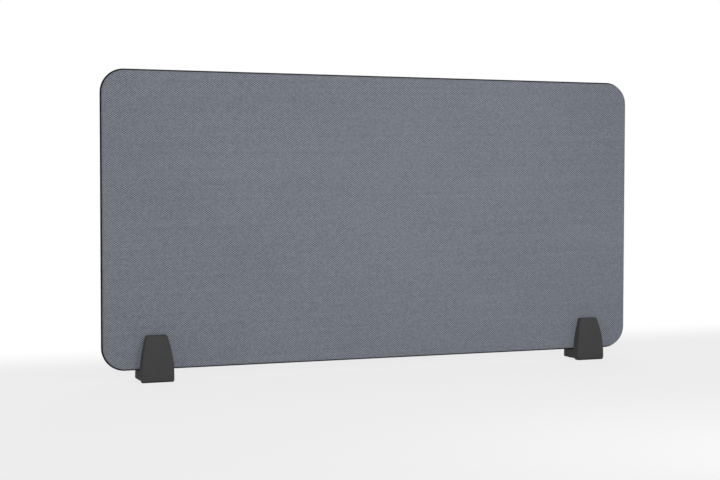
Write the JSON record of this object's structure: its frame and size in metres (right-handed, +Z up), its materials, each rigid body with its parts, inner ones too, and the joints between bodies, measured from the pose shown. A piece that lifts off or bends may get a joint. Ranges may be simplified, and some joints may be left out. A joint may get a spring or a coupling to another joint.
{
  "type": "desk divider screen",
  "caption": "Free-standing acoustic desk divider: a fabric-covered panel with rounded corners and a black edge bead, standing in black clamp feet that slide along its lower edge.",
  "frame": {"origin": "Middle of the object's footprint on the desk, midway between the panel's ends and between its faces", "axes": "+X along the panel to the right as seen from the front, +Y from the front to the back, +Z up"},
  "size_m": [1.2, 0.066, 0.6225],
  "materials": {
    "board": "plain hardboard, hidden inside",
    "acoustic_felt": "pressed polyester felt, hidden inside",
    "woven_cover": "grey-blue woven polyester, matt, fine diagonal weave",
    "edge_trim": "extruded black bead, satin",
    "foot_plastic": "moulded black plastic, fine matt texture",
    "plate_plastic": "glass-filled black plastic, matt",
    "rubber": "soft black rubber, matt",
    "liner": "thin black foam rubber",
    "screw_steel": "blackened steel",
    "brass": "plain turned brass"
  },
  "bodies": {
    "panel": {"core_board": "board", "front_pad": "acoustic_felt", "rear_pad": "acoustic_felt", "front_cover": "woven_cover", "rear_cover": "woven_cover", "edge_trim": "edge_trim"},
    "left_foot": {"left_foot_body": "foot_plastic", "left_front_base_pad": "rubber", "left_rear_base_pad": "rubber", "left_jaw_liner": "liner", "left_screw_insert": "brass"},
    "left_clamp": {"left_clamp_plate": "plate_plastic", "left_clamp_pad": "liner"},
    "left_screw": {"left_clamp_screw": "screw_steel"},
    "right_foot": {"right_foot_body": "foot_plastic", "right_front_base_pad": "rubber", "right_rear_base_pad": "rubber", "right_jaw_liner": "liner", "right_screw_insert": "brass"},
    "right_clamp": {"right_clamp_plate": "plate_plastic", "right_clamp_pad": "liner"},
    "right_screw": {"right_clamp_screw": "screw_steel"}
  },
  "joints": [
    {"name": "left_foot_slide", "type": "slide", "parent": "panel", "child": "left_foot", "axis": [1, 0, 0], "range_m": [-0.025, 0.35]},
    {"name": "left_clamp_slide", "type": "slide", "parent": "left_foot", "child": "left_clamp", "axis": [0, 1, 0], "range_m": [0, 0.0025]},
    {"name": "left_screw_turn", "type": "hinge", "parent": "left_clamp", "child": "left_screw", "pos_m": [-0.492, 0.02, 0.048], "axis": [0, 1, 0], "range_deg": [0, 900]},
    {"name": "right_foot_slide", "type": "slide", "parent": "panel", "child": "right_foot", "axis": [1, 0, 0], "range_m": [-0.35, 0.02]},
    {"name": "right_clamp_slide", "type": "slide", "parent": "right_foot", "child": "right_clamp", "axis": [0, 1, 0], "range_m": [0, 0.0025]},
    {"name": "right_screw_turn", "type": "hinge", "parent": "right_clamp", "child": "right_screw", "pos_m": [0.498, 0.02, 0.048], "axis": [0, 1, 0], "range_deg": [0, 900]}
  ],
  "couplings": [
    {"joint": "left_screw_turn", "follows": "left_clamp_slide", "rad_per_m": 6283.1},
    {"joint": "right_screw_turn", "follows": "right_clamp_slide", "rad_per_m": 6283.1}
  ]
}
